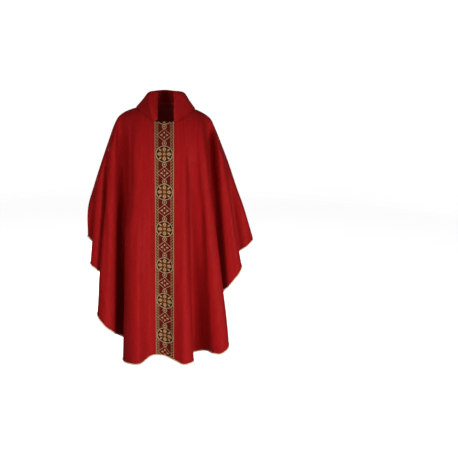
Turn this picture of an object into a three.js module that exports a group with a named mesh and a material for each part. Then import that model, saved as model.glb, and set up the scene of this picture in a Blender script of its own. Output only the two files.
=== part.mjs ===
// Gothic chasuble: two wide cloth panels joined along the shoulders and arms, a turned-down
// collar that is open at the front, a woven orphrey band down each side and a corded edge.
// It keeps the hollow form it has when worn. Millimetres, +Z up, -Y to the front, +X to the
// wearer's left. The origin is in the neck opening at the height of the shoulder seams.

import * as THREE from 'three';

// Driving dimensions
const CLOTH_WALL = 2; // damask panel, two millimetres with its turned edges
const COLLAR_WALL = 2.4; // collar, cloth doubled over a soft interlining
const BAND_WALL = 1.2; // woven orphrey band
const BAND_EDGE = 50; // edge of the band, along the neckline from its middle
const SEAM_GAP = 0.3; // space between pieces that are sewn together
const CORD_RADIUS = 3.8; // gold cord along the edge
const CORD_SIDES = 5;
const CORD_GAP = 1.8; // space between the hem and its cord
const COLLAR_SEAM_RISE = 1.5; // foot of the collar above the neckline
const ROLL_FALL = 4; // how far the outer line of the roll lies below the inner one
const COLLAR_STEPS = 2; // columns of the collar between two stations
const COLLAR_ROWS = 10; // rows of the collar from its seam to its outer edge
const HEM_FACET = 44; // longest stretch of hem between two columns
const SHOULDER_ROWS = 6; // rows from the top edge to where the cloth hangs free
const HANG_ROWS = 4; // rows from there to the hem

// A column of cloth starts on the panel's top edge: on the neckline within NECK_SIDE of the
// centre, and on the shoulder and arm seam beyond it. Left is the -X side.
const NECK_SIDE = 180;

const SHOULDER_SEAM = [
  { at: 0, leftX: -97, leftZ: -15, rightX: 95, rightZ: -12 },
  { at: 100, leftX: -193, leftZ: -43, rightX: 186, rightZ: -44 },
  { at: 165, leftX: -248, leftZ: -76, rightX: 241, rightZ: -79 },
  { at: 215, leftX: -275, leftZ: -120, rightX: 266, rightZ: -123 },
  { at: 300, leftX: -305, leftZ: -199, rightX: 300, rightZ: -201 },
  { at: 425, leftX: -347, leftZ: -317, rightX: 348, rightZ: -318 },
  { at: 575, leftX: -394, leftZ: -458, rightX: 399, rightZ: -459 },
  { at: 700, leftX: -429, leftZ: -578, rightX: 444, rightZ: -575 },
  { at: 870, leftX: -435, leftZ: -729, rightX: 502, rightZ: -753 },
];

const FRONT_NECKLINE = [
  { start: -180, x: -97, y: 0, z: -15 },
  { start: -155, x: -95.7, y: -32, z: -23.5 },
  { start: -130, x: -93, y: -61, z: -44 },
  { start: -90, x: -80, y: -93, z: -76 },
  { start: -50, x: -58, y: -109, z: -97 },
  { start: 0, x: -8, y: -112, z: -99 },
  { start: 50, x: 42, y: -109, z: -97 },
  { start: 90, x: 74, y: -93, z: -76 },
  { start: 130, x: 90, y: -61, z: -44 },
  { start: 155, x: 93.2, y: -32, z: -21.5 },
  { start: 180, x: 95, y: 0, z: -12 },
];

const BACK_NECKLINE = [
  { start: -180, x: -97, y: 0, z: -15 },
  { start: -120, x: -88, y: 42, z: -9 },
  { start: -50, x: -50, y: 72, z: -5 },
  { start: 0, x: 0, y: 80, z: -4 },
  { start: 50, x: 50, y: 72, z: -5 },
  { start: 120, x: 87, y: 42, z: -7 },
  { start: 180, x: 95, y: 0, z: -12 },
];

// By the distance of a column's top from the neck centre: how far the cloth stands out from the
// shoulder plane where it starts to hang free, how far below the top edge that is, and how
// steeply the cloth leaves the top edge.
const FRONT_DRAPE = [
  { start: 0, out: 165, drop: 190, lead: 3 },
  { start: 60, out: 164, drop: 192, lead: 2.1 },
  { start: 90, out: 163, drop: 207, lead: 1.7 },
  { start: 120, out: 162, drop: 232, lead: 1.2 },
  { start: 155, out: 161, drop: 262, lead: 0.65 },
  { start: 180, out: 160, drop: 275, lead: 0.25 },
  { start: 250, out: 150, drop: 250, lead: 0.26 },
  { start: 300, out: 128, drop: 210, lead: 0.25 },
  { start: 345, out: 98, drop: 150, lead: 0.2 },
  { start: 430, out: 76, drop: 112, lead: 0.2 },
  { start: 600, out: 60, drop: 92, lead: 0.2 },
  { start: 900, out: 34, drop: 52, lead: 0.3 },
  { start: 1050, out: 5, drop: 4, lead: 0.6 },
];

const BACK_DRAPE = [
  { start: 0, out: 122, drop: 285, lead: 2.2 },
  { start: 60, out: 122, drop: 284, lead: 2 },
  { start: 120, out: 124, drop: 280, lead: 1.3 },
  { start: 155, out: 124, drop: 277, lead: 0.6 },
  { start: 180, out: 124, drop: 272, lead: 0.12 },
  { start: 250, out: 122, drop: 250, lead: 0.2 },
  { start: 300, out: 110, drop: 210, lead: 0.2 },
  { start: 345, out: 90, drop: 150, lead: 0.2 },
  { start: 430, out: 74, drop: 112, lead: 0.2 },
  { start: 600, out: 60, drop: 92, lead: 0.2 },
  { start: 900, out: 34, drop: 52, lead: 0.3 },
  { start: 1050, out: 5, drop: 4, lead: 0.6 },
];

// Folds of each panel from the -X sleeve round to the +X sleeve: the start of the column on
// the top edge, how far the fold is already tucked in where it lets go, and its hem point.
const FRONT_FOLDS = [
  { fold: 'sleeve end', start: -1050, tuck: 0, x: -435, y: -8, z: -739 },
  { fold: 'wrist', start: -940, tuck: 0, x: -416, y: -34, z: -752 },
  { fold: 'wrist valley', start: -790, tuck: 8, x: -378, y: -22, z: -800 },
  { fold: 'wrist ridge edge', start: -660, tuck: -4, x: -414, y: -84, z: -878 },
  { fold: 'wrist ridge', start: -590, tuck: -4, x: -384, y: -100, z: -904 },
  { fold: 'arm valley', start: -530, tuck: 14, x: -300, y: -40, z: -992 },
  { fold: 'arm valley side', start: -495, tuck: 12, x: -310, y: -80, z: -1076 },
  { fold: 'arm ridge edge', start: -445, tuck: -6, x: -378, y: -136, z: -1154 },
  { fold: 'arm ridge', start: -405, tuck: -10, x: -336, y: -176, z: -1210 },
  { fold: 'arm ridge inside', start: -368, tuck: 4, x: -290, y: -146, z: -1262 },
  { fold: 'deep valley side', start: -348, tuck: 50, x: -264, y: -14, z: -1338 },
  { fold: 'deep valley', start: -322, tuck: 58, x: -214, y: -8, z: -1378 },
  { fold: 'centre ridge edge', start: -281, tuck: 10, x: -236, y: -206, z: -1404 },
  { fold: 'centre ridge', start: -245, tuck: -4, x: -186, y: -271, z: -1397 },
  { fold: 'centre ridge inside', start: -212, tuck: 0, x: -143, y: -274, z: -1396 },
  { fold: 'neck side', start: -170, tuck: 0, x: -114, y: -240, z: -1394 },
  { fold: 'breast', start: -105, tuck: 0, x: -86, y: -218, z: -1380 },
  { fold: 'band left edge', start: -50, tuck: 0, x: -54, y: -212, z: -1374 },
  { fold: 'band centre', start: 0, tuck: 0, x: -4, y: -216, z: -1379 },
  { fold: 'band right edge', start: 50, tuck: 0, x: 46, y: -242, z: -1394 },
  { fold: 'side ridge', start: 140, tuck: -2, x: 101, y: -280, z: -1405 },
  { fold: 'side ridge edge', start: 178, tuck: -1, x: 149, y: -252, z: -1404 },
  { fold: 'shallow valley', start: 199, tuck: 14, x: 161, y: -34, z: -1450 },
  { fold: 'shallow valley side', start: 221, tuck: 17, x: 201, y: -52, z: -1429 },
  { fold: 'outer ridge inside', start: 243, tuck: 13, x: 242, y: -100, z: -1408 },
  { fold: 'outer ridge', start: 257, tuck: -1, x: 272, y: -168, z: -1395 },
  { fold: 'outer ridge edge', start: 273, tuck: -6, x: 314, y: -186, z: -1391 },
  { fold: 'outer ridge corner', start: 287, tuck: 1, x: 351, y: -150, z: -1360 },
  { fold: 'deep valley', start: 312, tuck: 92, x: 284, y: -10, z: -1218 },
  { fold: 'deep valley side', start: 360, tuck: 62, x: 320, y: -10, z: -1082 },
  { fold: 'arm ridge inside', start: 405, tuck: -22, x: 358, y: -104, z: -1010 },
  { fold: 'arm ridge', start: 475, tuck: -24, x: 430, y: -98, z: -897 },
  { fold: 'arm valley', start: 580, tuck: 12, x: 398, y: -24, z: -852 },
  { fold: 'wrist ridge', start: 800, tuck: 0, x: 468, y: -36, z: -790 },
  { fold: 'sleeve end', start: 1050, tuck: 0, x: 502, y: -8, z: -763 },
];

const BACK_FOLDS = [
  { fold: 'sleeve end', start: -1050, tuck: 0, x: -435, y: 8, z: -739 },
  { fold: 'wrist', start: -930, tuck: 0, x: -414, y: 36, z: -756 },
  { fold: 'wrist valley', start: -780, tuck: 8, x: -376, y: 22, z: -806 },
  { fold: 'wrist ridge edge', start: -650, tuck: -4, x: -400, y: 68, z: -880 },
  { fold: 'wrist ridge', start: -600, tuck: -4, x: -374, y: 88, z: -912 },
  { fold: 'arm valley', start: -548, tuck: 12, x: -312, y: 50, z: -996 },
  { fold: 'arm valley side', start: -518, tuck: 10, x: -318, y: 90, z: -1070 },
  { fold: 'arm ridge edge', start: -470, tuck: -6, x: -366, y: 132, z: -1134 },
  { fold: 'arm ridge', start: -420, tuck: -10, x: -326, y: 168, z: -1202 },
  { fold: 'arm ridge inside', start: -385, tuck: 4, x: -288, y: 132, z: -1262 },
  { fold: 'deep valley', start: -350, tuck: 48, x: -248, y: 36, z: -1340 },
  { fold: 'centre ridge edge', start: -312, tuck: 6, x: -274, y: 176, z: -1380 },
  { fold: 'centre ridge', start: -270, tuck: -4, x: -222, y: 240, z: -1392 },
  { fold: 'slight valley', start: -220, tuck: 8, x: -168, y: 192, z: -1386 },
  { fold: 'inner ridge', start: -170, tuck: 0, x: -132, y: 228, z: -1390 },
  { fold: 'inner valley', start: -95, tuck: 4, x: -92, y: 178, z: -1382 },
  { fold: 'band left edge', start: -50, tuck: 0, x: -50, y: 206, z: -1388 },
  { fold: 'band centre', start: 0, tuck: 0, x: 0, y: 216, z: -1392 },
  { fold: 'band right edge', start: 50, tuck: 0, x: 50, y: 224, z: -1394 },
  { fold: 'side ridge', start: 120, tuck: 0, x: 96, y: 226, z: -1394 },
  { fold: 'shallow valley', start: 190, tuck: 12, x: 148, y: 140, z: -1384 },
  { fold: 'outer ridge', start: 260, tuck: -4, x: 204, y: 236, z: -1390 },
  { fold: 'outer ridge edge', start: 312, tuck: 4, x: 252, y: 182, z: -1372 },
  { fold: 'deep valley', start: 345, tuck: 50, x: 234, y: 36, z: -1318 },
  { fold: 'arm ridge inside', start: 378, tuck: 8, x: 276, y: 112, z: -1244 },
  { fold: 'arm ridge', start: 420, tuck: -8, x: 330, y: 150, z: -1166 },
  { fold: 'arm ridge edge', start: 470, tuck: -6, x: 368, y: 104, z: -1080 },
  { fold: 'arm valley', start: 520, tuck: 12, x: 340, y: 44, z: -1012 },
  { fold: 'arm valley side', start: 556, tuck: 10, x: 366, y: 38, z: -954 },
  { fold: 'wrist ridge', start: 640, tuck: -4, x: 420, y: 84, z: -900 },
  { fold: 'wrist valley', start: 760, tuck: 8, x: 416, y: 26, z: -838 },
  { fold: 'wrist', start: 900, tuck: 0, x: 468, y: 38, z: -788 },
  { fold: 'sleeve end', start: 1050, tuck: 0, x: 502, y: 8, z: -763 },
];

// Collar stations from the left of the slot round the nape to its right: where the collar is
// sewn on (neckline distance from the left front), the inner line of its roll, the crest of
// the roll, and its outer edge, which rests on the panels.
const COLLAR_STATIONS = [
  { turn: 0, seam: 52, x: -42, y: -114, z: -88, crestX: -57, crestY: -119, edgeX: -66, edgeY: -117, edgeZ: -91 },
  { turn: 1, seam: 85, x: -42, y: -103, z: -56, crestX: -70, crestY: -121, edgeX: -86, edgeY: -104, edgeZ: -79 },
  { turn: 2, seam: 115, x: -42, y: -84, z: -20, crestX: -80, crestY: -115, edgeX: -108, edgeY: -81, edgeZ: -63 },
  { turn: 3, seam: 145, x: -42, y: -63, z: 16, crestX: -85, crestY: -99, edgeX: -131, edgeY: -59, edgeZ: -48 },
  { turn: 4, seam: 170, x: -42, y: -42, z: 53, crestX: -87, crestY: -64, edgeX: -153, edgeY: -28, edgeZ: -33 },
  { turn: 5, seam: 190, x: -70, y: -14, z: 54, crestX: -89, crestY: -12, edgeX: -157, edgeY: 4, edgeZ: -27 },
  { turn: 6, seam: 235, x: -66, y: 30, z: 57, crestX: -77, crestY: 34, edgeX: -130, edgeY: 46, edgeZ: -32 },
  { turn: 7, seam: 300, x: -38, y: 58, z: 62, crestX: -44, crestY: 68, edgeX: -68, edgeY: 105, edgeZ: -70 },
  { turn: 8, seam: 360, x: 0, y: 68, z: 65, crestX: 0, crestY: 78, edgeX: 0, edgeY: 121, edgeZ: -106 },
  { turn: 9, seam: 420, x: 38, y: 58, z: 62, crestX: 44, crestY: 68, edgeX: 68, edgeY: 105, edgeZ: -70 },
  { turn: 10, seam: 485, x: 68, y: 30, z: 59, crestX: 82, crestY: 34, edgeX: 130, edgeY: 46, edgeZ: -32 },
  { turn: 11, seam: 530, x: 76, y: -14, z: 57, crestX: 99, crestY: -10, edgeX: 157, edgeY: 4, edgeZ: -27 },
  { turn: 12, seam: 550, x: 42, y: -62, z: 56, crestX: 80, crestY: -58, edgeX: 153, edgeY: -28, edgeZ: -33 },
  { turn: 13, seam: 575, x: 42, y: -88, z: 18, crestX: 73, crestY: -78, edgeX: 131, edgeY: -59, edgeZ: -48 },
  { turn: 14, seam: 605, x: 42, y: -103, z: -20, crestX: 65, crestY: -96, edgeX: 108, edgeY: -81, edgeZ: -63 },
  { turn: 15, seam: 635, x: 42, y: -113, z: -56, crestX: 59, crestY: -110, edgeX: 86, edgeY: -104, edgeZ: -79 },
  { turn: 16, seam: 668, x: 42, y: -116, z: -88, crestX: 54, crestY: -117, edgeX: 66, edgeY: -117, edgeZ: -91 },
];

// Smooth value of one field of a table at a place given in its key field.
function along(table, key, field, place) {
  const last = table.length - 1;
  const next = table.findIndex((entry) => entry[key] > place);
  const i = next < 0 ? last - 1 : Math.max(0, next - 1);
  const slope = (k) => {
    const before = table[Math.max(0, k - 1)];
    const after = table[Math.min(last, k + 1)];
    return (after[field] - before[field]) / (after[key] - before[key]);
  };
  const span = table[i + 1][key] - table[i][key];
  const t = THREE.MathUtils.clamp((place - table[i][key]) / span, 0, 1);
  return hermite(table[i][field], slope(i) * span, table[i + 1][field], slope(i + 1) * span, t);
}

function hermite(from, leave, to, arrive, t) {
  const t2 = t * t;
  const t3 = t2 * t;
  return (2 * t3 - 3 * t2 + 1) * from + (t3 - 2 * t2 + t) * leave
    + (3 * t2 - 2 * t3) * to + (t3 - t2) * arrive;
}

function hermitePoint(from, leave, to, arrive, t) {
  return new THREE.Vector3(
    hermite(from.x, leave.x, to.x, arrive.x, t),
    hermite(from.y, leave.y, to.y, arrive.y, t),
    hermite(from.z, leave.z, to.z, arrive.z, t),
  );
}

// A panel of the garment: which way it faces, its tables and its hem line.
function panel(facing, name, neckline, drape, foldTable) {
  const folds = foldTable.map((fold, index) => ({ ...fold, index }));
  const hemPoints = folds.map((fold) => new THREE.Vector3(fold.x, fold.y, fold.z));
  const hem = new THREE.CatmullRomCurve3(hemPoints, false, 'centripetal');
  return { facing, name, neckline, drape, folds, hem };
}

function topPoint(side, start) {
  const beyondNeck = Math.abs(start) - NECK_SIDE;
  const gap = side.facing * SEAM_GAP / 2;
  if (beyondNeck < 0) {
    const at = (field) => along(side.neckline, 'start', field, start);
    return new THREE.Vector3(at('x'), at('y') + gap, at('z'));
  }
  const hand = start < 0 ? 'left' : 'right';
  const at = (field) => along(SHOULDER_SEAM, 'at', hand + field, beyondNeck);
  return new THREE.Vector3(at('X'), gap, at('Z'));
}

// Point on the rounded stretch of a column, from its top (share 0) to where it lets go (1).
function shoulderPoint(side, start, hemPoint, share) {
  const drape = (field) => along(side.drape, 'start', field, Math.abs(start));
  const top = topPoint(side, start);
  const tuck = along(side.folds, 'start', 'tuck', start);
  const drop = drape('drop');
  const lean = (hemPoint.x - top.x) * drop / (top.z - hemPoint.z + drop);
  const letGo = new THREE.Vector3(top.x + lean, side.facing * (drape('out') - tuck), top.z - drop);
  const length = letGo.distanceTo(top);
  const leave = new THREE.Vector3(0, side.facing, -drape('lead')).setLength(length);
  const arrive = hemPoint.clone().sub(letGo).setLength(length);
  return hermitePoint(top, leave, letGo, arrive, share);
}

// Places of the columns along the fold table, close enough together to follow the hem.
function columnPlaces(side) {
  const places = [];
  for (let i = 0; i < side.folds.length - 1; i += 1) {
    const from = side.hem.points[i];
    const to = side.hem.points[i + 1];
    const steps = Math.max(1, Math.round(from.distanceTo(to) / HEM_FACET));
    for (let step = 0; step < steps; step += 1) places.push(i + step / steps);
  }
  places.push(side.folds.length - 1);
  return places;
}

// Grid of points over a panel, a row at a time from the top edge to the hem, with normals.
function panelGrid(side) {
  const columns = columnPlaces(side).map((place) => {
    const start = along(side.folds, 'index', 'start', place);
    const hemPoint = side.hem.getPoint(place / (side.folds.length - 1));
    return { place, start, hemPoint };
  });
  const points = [];
  for (let r = 0; r < SHOULDER_ROWS; r += 1) {
    points.push(columns.map((c) => shoulderPoint(side, c.start, c.hemPoint, r / SHOULDER_ROWS)));
  }
  const letGo = columns.map((c) => shoulderPoint(side, c.start, c.hemPoint, 1));
  for (let r = 0; r <= HANG_ROWS; r += 1) {
    points.push(columns.map((c, i) => letGo[i].clone().lerp(c.hemPoint, r / HANG_ROWS)));
  }
  const normals = gridNormals(points, side.facing);
  columns.forEach((c, i) => {
    if (Math.abs(c.start) >= NECK_SIDE) normals[0][i].setY(0).normalize();
  });
  return { points, normals, columns };
}

function gridNormals(points, facing) {
  const lastRow = points.length - 1;
  const lastColumn = points[0].length - 1;
  return points.map((line, r) => line.map((point, c) => {
    const across = line[Math.min(lastColumn, c + 1)].clone().sub(line[Math.max(0, c - 1)]);
    const down = points[Math.min(lastRow, r + 1)][c].clone().sub(points[Math.max(0, r - 1)][c]);
    return across.cross(down).multiplyScalar(facing).normalize();
  }));
}

// Closed wall over a grid of points, between two distances along the normals.
function wall(points, normals, inner, outer, facing) {
  const rows = points.length;
  const columns = points[0].length;
  const positions = [];
  for (const distance of [outer, inner]) {
    points.forEach((line, r) => line.forEach((point, c) => {
      const moved = point.clone().addScaledVector(normals[r][c], distance);
      positions.push(moved.x, moved.y, moved.z);
    }));
  }
  const at = (layer, r, c) => layer * rows * columns + r * columns + c;
  const faces = [];
  const span = (a, b) => Math.hypot(...[0, 1, 2].map((k) => positions[3 * a + k] - positions[3 * b + k]));
  const quad = (a, b, c, d) => {
    const [p, q, r, s] = span(a, c) < span(b, d) ? [a, b, c, d] : [b, c, d, a];
    if (facing > 0) faces.push(p, r, q, p, s, r);
    else faces.push(p, q, r, p, r, s);
  };
  for (let r = 0; r < rows - 1; r += 1) {
    for (let c = 0; c < columns - 1; c += 1) {
      quad(at(0, r, c), at(0, r + 1, c), at(0, r + 1, c + 1), at(0, r, c + 1));
      quad(at(1, r, c), at(1, r, c + 1), at(1, r + 1, c + 1), at(1, r + 1, c));
    }
  }
  for (let c = 0; c < columns - 1; c += 1) {
    quad(at(1, 0, c), at(0, 0, c), at(0, 0, c + 1), at(1, 0, c + 1));
    quad(at(0, rows - 1, c), at(1, rows - 1, c), at(1, rows - 1, c + 1), at(0, rows - 1, c + 1));
  }
  for (let r = 0; r < rows - 1; r += 1) {
    quad(at(0, r, 0), at(1, r, 0), at(1, r + 1, 0), at(0, r + 1, 0));
    quad(at(1, r, columns - 1), at(0, r, columns - 1), at(0, r + 1, columns - 1), at(1, r + 1, columns - 1));
  }
  return closedMesh(positions, faces);
}

function closedMesh(positions, faces) {
  const geometry = new THREE.BufferGeometry();
  geometry.setAttribute('position', new THREE.Float32BufferAttribute(positions, 3));
  geometry.setIndex(faces);
  geometry.computeVertexNormals();
  return geometry;
}

function orphreyBand(grid, facing) {
  const covered = (value, i) => Math.abs(grid.columns[i].start) < BAND_EDGE + 1;
  const pick = (table) => table.map((line) => line.filter(covered));
  return wall(pick(grid.points), pick(grid.normals), SEAM_GAP, SEAM_GAP + BAND_WALL, facing);
}

// Cord along the hem, just below the panel's edge.
function edgeCord(grid, facing) {
  const lastRow = grid.points.length - 1;
  const hem = grid.points[lastRow];
  const positions = [];
  hem.forEach((point, i) => {
    const next = hem[Math.min(hem.length - 1, i + 1)];
    const before = hem[Math.max(0, i - 1)];
    const tangent = next.clone().sub(before).normalize();
    const turn = Math.min(
      i === 0 ? 1 : point.clone().sub(before).normalize().dot(tangent),
      i === hem.length - 1 ? 1 : next.clone().sub(point).normalize().dot(tangent),
    );
    const out = grid.normals[lastRow][i];
    const down = out.clone().cross(tangent).multiplyScalar(facing).normalize();
    const centre = point.clone().addScaledVector(out, -CLOTH_WALL / 2)
      .addScaledVector(down, (CORD_GAP + CORD_RADIUS) / turn);
    const side = new THREE.Vector3().crossVectors(down, tangent).normalize();
    for (let k = 0; k < CORD_SIDES; k += 1) {
      const angle = 2 * Math.PI * k / CORD_SIDES;
      const ring = centre.clone().addScaledVector(down, CORD_RADIUS * Math.cos(angle))
        .addScaledVector(side, CORD_RADIUS * Math.sin(angle));
      positions.push(ring.x, ring.y, ring.z);
    }
  });
  const faces = [];
  for (let i = 0; i < hem.length - 1; i += 1) {
    for (let k = 0; k < CORD_SIDES; k += 1) {
      const a = i * CORD_SIDES + k;
      const b = i * CORD_SIDES + (k + 1) % CORD_SIDES;
      faces.push(a, b + CORD_SIDES, b, a, a + CORD_SIDES, b + CORD_SIDES);
    }
  }
  const end = (hem.length - 1) * CORD_SIDES;
  for (let k = 1; k < CORD_SIDES - 1; k += 1) {
    faces.push(0, k, k + 1, end, end + k + 1, end + k);
  }
  return closedMesh(positions, faces);
}

// Point on the neckline at a distance from its left front end, round the nape to the right.
function neckPoint(front, back, distance) {
  const onLeft = distance < NECK_SIDE;
  if (onLeft || distance > 3 * NECK_SIDE) {
    return topPoint(front, onLeft ? -distance : 4 * NECK_SIDE - distance);
  }
  return topPoint(back, distance - 2 * NECK_SIDE);
}

// Collar: from its seam up inside, over the roll and down to the outer edge on the shoulders.
function collarGrid(front, back) {
  const lastTurn = COLLAR_STATIONS.length - 1;
  const sections = [];
  for (let i = 0; i <= lastTurn * COLLAR_STEPS; i += 1) {
    const at = (field) => along(COLLAR_STATIONS, 'turn', field, i / COLLAR_STEPS);
    const seam = neckPoint(front, back, at('seam'));
    seam.z += COLLAR_SEAM_RISE;
    const rollIn = new THREE.Vector3(at('x'), at('y'), at('z'));
    const crest = new THREE.Vector3(at('crestX'), at('crestY'), at('z') - ROLL_FALL);
    const edge = new THREE.Vector3(at('edgeX'), at('edgeY'), at('edgeZ'));
    const stand = seam.clone().lerp(rollIn, 0.5);
    const fall = crest.clone().lerp(edge, 0.5);
    sections.push(new THREE.CatmullRomCurve3([seam, stand, rollIn, crest, fall, edge], false, 'centripetal'));
  }
  const points = [];
  for (let k = 0; k <= COLLAR_ROWS; k += 1) {
    points.push(sections.map((section) => section.getPoint(k / COLLAR_ROWS)));
  }
  return { points, normals: gridNormals(points, 1) };
}

const damask = new THREE.MeshStandardMaterial({ color: 0x9d1518, roughness: 0.62, metalness: 0 });
const collarDamask = new THREE.MeshStandardMaterial({ color: 0x951418, roughness: 0.62, metalness: 0 });
const galloon = new THREE.MeshStandardMaterial({ color: 0x6b4a26, roughness: 0.5, metalness: 0.2 });
const goldCord = new THREE.MeshStandardMaterial({ color: 0xcfa866, roughness: 0.45, metalness: 0.3 });

const chasuble = new THREE.Group();
chasuble.name = 'gothic_chasuble';

function piece(name, geometry, material) {
  const mesh = new THREE.Mesh(geometry, material);
  mesh.name = name;
  chasuble.add(mesh);
}

const front = panel(-1, 'front', FRONT_NECKLINE, FRONT_DRAPE, FRONT_FOLDS);
const back = panel(1, 'back', BACK_NECKLINE, BACK_DRAPE, BACK_FOLDS);
for (const side of [front, back]) {
  const grid = panelGrid(side);
  piece(`${side.name}_panel`, wall(grid.points, grid.normals, -CLOTH_WALL, 0, side.facing), damask);
  piece(`${side.name}_orphrey`, orphreyBand(grid, side.facing), galloon);
  piece(`${side.name}_edge_cord`, edgeCord(grid, side.facing), goldCord);
}
const collar = collarGrid(front, back);
piece('collar', wall(collar.points, collar.normals, -COLLAR_WALL, 0, 1), collarDamask);

export default chasuble;
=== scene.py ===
import math
from types import SimpleNamespace

import bpy
import numpy as np
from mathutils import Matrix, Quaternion, Vector


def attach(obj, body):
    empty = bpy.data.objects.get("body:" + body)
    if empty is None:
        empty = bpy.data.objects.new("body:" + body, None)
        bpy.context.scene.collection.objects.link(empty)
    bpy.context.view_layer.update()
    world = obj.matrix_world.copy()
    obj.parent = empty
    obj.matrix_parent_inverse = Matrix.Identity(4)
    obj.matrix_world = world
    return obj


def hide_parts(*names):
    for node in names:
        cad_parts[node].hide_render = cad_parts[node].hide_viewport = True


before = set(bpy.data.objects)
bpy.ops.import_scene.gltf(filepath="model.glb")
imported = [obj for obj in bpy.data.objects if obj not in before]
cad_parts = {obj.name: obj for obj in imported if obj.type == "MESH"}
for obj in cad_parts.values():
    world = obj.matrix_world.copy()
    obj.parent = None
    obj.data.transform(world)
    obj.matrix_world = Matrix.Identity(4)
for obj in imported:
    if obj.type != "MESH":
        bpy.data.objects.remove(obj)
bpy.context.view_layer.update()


# ----------------------------------------
# Front and back panel. Each is a wide sheet of silk damask cut as half an oval. The two are
# sewn together along the shoulders and arms, and hang in folds from the neck and the arms.
# Their damask has a satin ground with a scroll figure woven in the same red.
# ----------------------------------------

cloth_thickness = 0.0016
seam_gap = 0.0003
sewn_gap = 0.00004  # front and back all but touch where they are sewn
neck_side = 0.180  # the neckline's half length, where the shoulder seam begins
hem_spacing = 0.0085  # between two columns of the cloth at the hem
rounded_rows = 44
hanging_rows = 88
ease_width = 0.045
ease_rounds = 40
hem_lip = 0.0005  # how far the hem's rounded edge stands past the cloth


def table(columns, *rows):
    """A short table as arrays, one for each named column."""
    return SimpleNamespace(**dict(zip(columns.split(), np.array(rows, float).T)))


shoulder_seam = table(
    "at left_x left_z right_x right_z",
    (0, -0.097, -0.015, 0.095, -0.012),
    (0.100, -0.193, -0.043, 0.186, -0.044),
    (0.165, -0.248, -0.076, 0.241, -0.079),
    (0.215, -0.275, -0.120, 0.266, -0.123),
    (0.300, -0.305, -0.199, 0.300, -0.201),
    (0.425, -0.347, -0.317, 0.348, -0.318),
    (0.575, -0.394, -0.458, 0.399, -0.459),
    (0.700, -0.429, -0.578, 0.444, -0.575),
    (0.870, -0.435, -0.729, 0.502, -0.753),
)

front_neckline = table(
    "start x y z",
    (-0.180, -0.097, 0, -0.015),
    (-0.155, -0.0957, -0.032, -0.0235),
    (-0.130, -0.093, -0.061, -0.044),
    (-0.090, -0.080, -0.093, -0.076),
    (-0.050, -0.058, -0.109, -0.097),
    (0, -0.008, -0.112, -0.099),
    (0.050, 0.042, -0.109, -0.097),
    (0.090, 0.074, -0.093, -0.076),
    (0.130, 0.090, -0.061, -0.044),
    (0.155, 0.0932, -0.032, -0.0215),
    (0.180, 0.095, 0, -0.012),
)

back_neckline = table(
    "start x y z",
    (-0.180, -0.097, 0, -0.015),
    (-0.120, -0.088, 0.042, -0.009),
    (-0.050, -0.050, 0.072, -0.005),
    (0, 0, 0.080, -0.004),
    (0.050, 0.050, 0.072, -0.005),
    (0.120, 0.087, 0.042, -0.007),
    (0.180, 0.095, 0, -0.012),
)

# By the distance of a column's top from the middle of the neck: how far the cloth stands out
# where it starts to hang free, how far below its top that is, and how steeply it leaves.
front_drape = table(
    "start out drop lead",
    (0, 0.165, 0.190, 3),
    (0.060, 0.164, 0.192, 2.1),
    (0.090, 0.163, 0.207, 1.7),
    (0.120, 0.162, 0.232, 1.2),
    (0.155, 0.161, 0.262, 0.65),
    (0.180, 0.160, 0.275, 0.25),
    (0.250, 0.150, 0.250, 0.26),
    (0.300, 0.128, 0.210, 0.25),
    (0.345, 0.098, 0.150, 0.2),
    (0.430, 0.076, 0.112, 0.2),
    (0.600, 0.060, 0.092, 0.2),
    (0.900, 0.034, 0.052, 0.3),
    (1.050, 0.005, 0.004, 0.6),
)

back_drape = table(
    "start out drop lead",
    (0, 0.122, 0.285, 2.2),
    (0.060, 0.122, 0.284, 2.0),
    (0.120, 0.124, 0.280, 1.3),
    (0.155, 0.124, 0.277, 0.6),
    (0.180, 0.124, 0.272, 0.12),
    (0.250, 0.122, 0.250, 0.2),
    (0.300, 0.110, 0.210, 0.2),
    (0.345, 0.090, 0.150, 0.2),
    (0.430, 0.074, 0.112, 0.2),
    (0.600, 0.060, 0.092, 0.2),
    (0.900, 0.034, 0.052, 0.3),
    (1.050, 0.005, 0.004, 0.6),
)

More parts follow.
